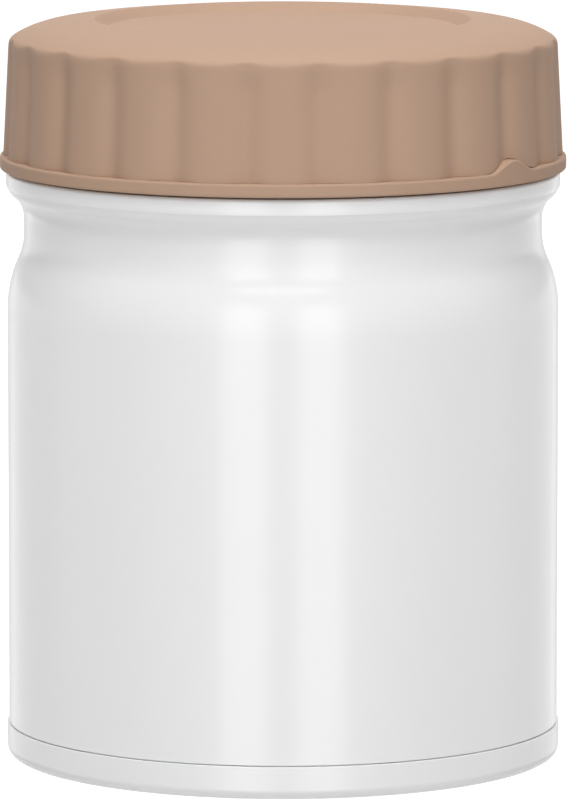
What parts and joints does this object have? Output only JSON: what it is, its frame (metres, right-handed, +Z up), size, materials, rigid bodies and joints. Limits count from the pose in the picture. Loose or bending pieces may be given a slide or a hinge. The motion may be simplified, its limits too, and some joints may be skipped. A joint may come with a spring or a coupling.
{
  "type": "insulated food jar",
  "caption": "Vacuum insulated food jar with a fluted screw-on lid, a lift-out inner lid with a vent, and a bare white body.",
  "frame": {"origin": "on the jar's axis, on the surface that it stands on", "axes": "+Z up along the jar's axis, -Y towards the front, +X to the right seen from the front"},
  "size_m": [0.095, 0.095, 0.1244],
  "materials": {
    "white_enamel_steel": "glossy white powder coat on stainless steel",
    "polished_steel": "electropolished stainless steel, food side",
    "plain_steel": "plain pressed stainless steel",
    "foil": "bright foil",
    "braze": "melted braze",
    "getter_metal": "pressed metal powder",
    "white_cap": "glossy white moulded cap",
    "inner_lid_plastic": "off-white moulded polypropylene",
    "button_plastic": "moulded polypropylene",
    "silicone": "translucent white silicone",
    "foam": "closed-cell foam",
    "lid_plastic": "satin beige moulded polypropylene"
  },
  "bodies": {
    "vessel": {"outer_shell": "white_enamel_steel", "inner_flask": "polished_steel", "radiation_foil": "foil", "vacuum_plate": "plain_steel", "sealing_bead": "braze", "getter": "getter_metal", "getter_strap": "plain_steel", "base_cover": "white_cap"},
    "inner_lid": {"inner_lid_cup": "inner_lid_plastic", "inner_lid_top": "inner_lid_plastic", "inner_lid_foam": "foam", "lip_seal": "silicone"},
    "vent_valve": {"vent_button": "button_plastic", "vent_seal": "silicone"},
    "lid": {"lid_cover": "lid_plastic", "lid_liner": "lid_plastic", "lid_foam": "foam"}
  },
  "joints": [
    {"name": "lid_rise", "type": "slide", "parent": "vessel", "child": "inner_lid", "axis": [0, 0, 1], "range_m": [0, 0.036]},
    {"name": "lid_turn", "type": "hinge", "parent": "inner_lid", "child": "lid", "pos_m": [0, 0, 0.11], "axis": [0, 0, 1], "range_deg": [0, 1080]},
    {"name": "vent_press", "type": "slide", "parent": "inner_lid", "child": "vent_valve", "axis": [0, 0, -1], "range_m": [0, 0.0012], "stiffness_N_per_m": 800}
  ],
  "couplings": [
    {"joint": "lid_rise", "follows": "lid_turn", "m_per_rad": 0.0019098}
  ]
}
